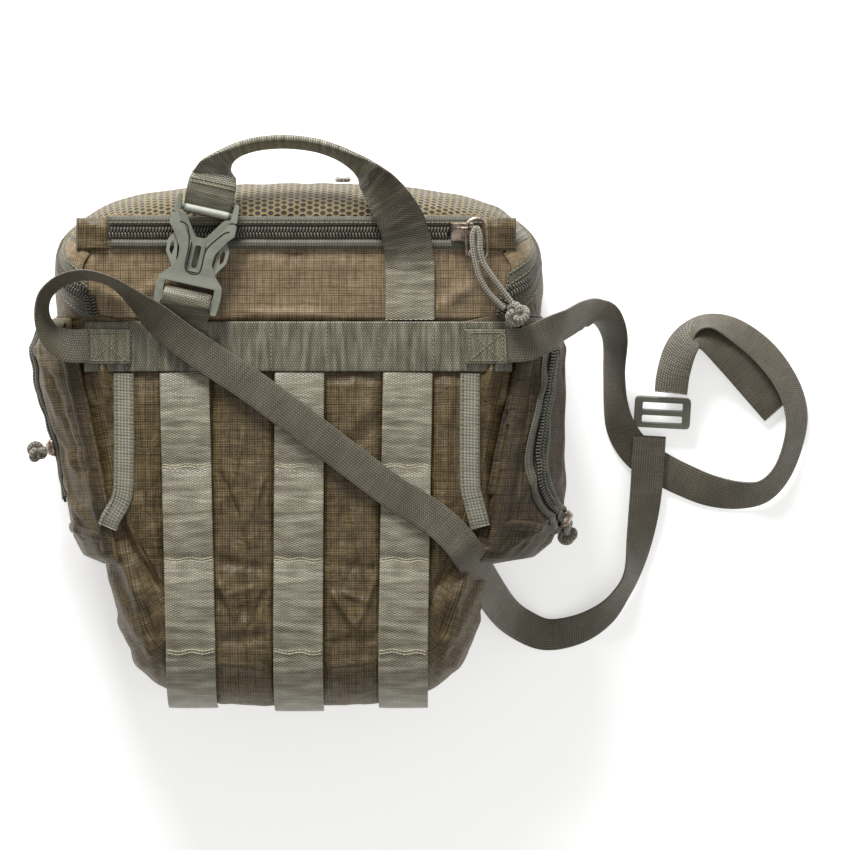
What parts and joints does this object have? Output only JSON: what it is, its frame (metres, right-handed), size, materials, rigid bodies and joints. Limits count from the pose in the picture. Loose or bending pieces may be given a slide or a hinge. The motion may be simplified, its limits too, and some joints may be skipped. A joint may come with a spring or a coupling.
{
  "type": "binocular harness pack",
  "caption": "Small padded chest pack with a hinged zip lid, buckled carry handle, zipped side pockets, front webbing and a shoulder strap with a ladder lock.",
  "frame": {"origin": "middle of the back pad's resting face", "axes": "+Z out of the front, +Y towards the carry handle, +X to the right seen from the front"},
  "size_m": [0.3962, 0.2893, 0.1048],
  "materials": {
    "ripstop": "satin ripstop nylon with a small grid",
    "spacer_mesh": "coarse spacer mesh",
    "stiffener": "plain sheet",
    "lining": "plain weave",
    "webbing": "ribbed webbing",
    "knit_tape": "herringbone tape",
    "zip_coil": "moulded coil, slight shine",
    "buckle_plastic": "satin moulded acetal",
    "lock_plastic": "satin moulded acetal",
    "slider_metal": "worn copper-toned plate",
    "pull_cord": "braided cord"
  },
  "bodies": {
    "pack": {"back_pad": "spacer_mesh", "back_stiffener": "stiffener", "back_lining": "lining", "front_panel": "ripstop", "left_side_wall": "ripstop", "right_side_wall": "ripstop", "bottom_wall": "ripstop", "main_zip_body_tape": "knit_tape", "front_lining": "lining", "belt_webbing": "webbing", "left_strip": "webbing", "middle_strip": "webbing", "right_strip": "webbing", "left_side_tape": "knit_tape", "right_side_tape": "knit_tape", "left_strap_anchor": "webbing", "right_strap_anchor": "webbing", "left_pocket": "ripstop", "right_pocket": "ripstop", "left_pocket_coil": "zip_coil", "right_pocket_coil": "zip_coil", "strap_arc": "webbing", "strap_over": "webbing", "strap_tail": "webbing", "strap_loose_end": "webbing", "ladder_lock": "lock_plastic"},
    "lid": {"lid_front_panel": "ripstop", "lid_mesh_top": "spacer_mesh", "lid_left_side": "ripstop", "lid_right_side": "ripstop", "main_zip_lid_tape": "knit_tape", "lid_lining": "lining", "lid_zip_tape": "knit_tape", "lid_zip_coil": "zip_coil", "left_zip_patch": "ripstop", "right_zip_patch": "ripstop", "buckle_female": "buckle_plastic", "buckle_web_loop": "webbing", "handle_riser": "webbing"},
    "front_slider": {"front_slider": "slider_metal", "front_slider_bridge": "slider_metal"},
    "front_pull": {"front_ring_pull": "slider_metal", "front_pull_cord": "pull_cord", "front_pull_knot": "pull_cord"},
    "left_main_slider": {"left_main_slider": "slider_metal", "left_main_cord": "pull_cord"},
    "right_main_slider": {"right_main_slider": "slider_metal", "right_main_cord": "pull_cord"},
    "left_pocket_slider": {"left_pocket_pull_slider": "slider_metal", "left_pocket_pull_cord": "pull_cord", "left_pocket_pull_knot": "pull_cord"},
    "right_pocket_slider": {"right_pocket_pull_slider": "slider_metal", "right_pocket_pull_cord": "pull_cord", "right_pocket_pull_knot": "pull_cord"},
    "buckle_male": {"buckle_male": "buckle_plastic", "handle_end_web": "webbing"},
    "left_arm": {"left_spring_arm": "buckle_plastic"},
    "right_arm": {"right_spring_arm": "buckle_plastic"},
    "handle": {"handle_grip": "webbing"}
  },
  "joints": [
    {"name": "lid_hinge", "type": "hinge", "parent": "pack", "child": "lid", "pos_m": [0, 0.063, 0.0912], "axis": [1, 0, 0], "range_deg": [0, 94], "deforming": ["strap_arc", "strap_over"]},
    {"name": "front_slider_slide", "type": "slide", "parent": "lid", "child": "front_slider", "axis": [-1, 0, 0], "range_m": [0, 0.1], "deforming": ["handle_riser"]},
    {"name": "front_pull_swing", "type": "hinge", "parent": "front_slider", "child": "front_pull", "pos_m": [0.0845, 0.107, 0.09754], "axis": [0, -1, 0], "range_deg": [0, 150], "deforming": ["front_pull_cord", "front_pull_knot"]},
    {"name": "left_main_slide", "type": "slide", "parent": "lid", "child": "left_main_slider", "axis": [-1, 0, 0], "range_m": [0, 0.055]},
    {"name": "right_main_slide", "type": "slide", "parent": "lid", "child": "right_main_slider", "axis": [1, 0, 0], "range_m": [0, 0.012]},
    {"name": "left_pocket_slide", "type": "slide", "parent": "pack", "child": "left_pocket_slider", "axis": [-0.3019, 0.9533, -0.0001], "range_m": [-0.008, 0.03]},
    {"name": "right_pocket_slide", "type": "slide", "parent": "pack", "child": "right_pocket_slider", "axis": [-0.0871, 0.6988, 0.71], "range_m": [0, 0.01]},
    {"name": "buckle_release", "type": "slide", "parent": "lid", "child": "buckle_male", "axis": [0.2164, 0.9763, 0], "range_m": [0, 0.015], "deforming": ["handle_end_web"]},
    {"name": "left_arm_squeeze", "type": "hinge", "parent": "buckle_male", "child": "left_arm", "pos_m": [-0.05889, 0.11138, 0.09422], "axis": [0, 0, 1], "range_deg": [0, 6], "stiffness_Nm_per_rad": 0.3},
    {"name": "right_arm_squeeze", "type": "hinge", "parent": "buckle_male", "child": "right_arm", "pos_m": [-0.03468, 0.10601, 0.09422], "axis": [0, 0, 1], "range_deg": [-6, 0], "stiffness_Nm_per_rad": 0.3},
    {"name": "handle_swing", "type": "hinge", "parent": "lid", "child": "handle", "pos_m": [-0.002, 0.1355, 0.0938], "axis": [1, 0, 0], "range_deg": [-40, 80]}
  ],
  "couplings": [
    {"joint": "right_arm_squeeze", "follows": "left_arm_squeeze", "ratio": -1}
  ]
}
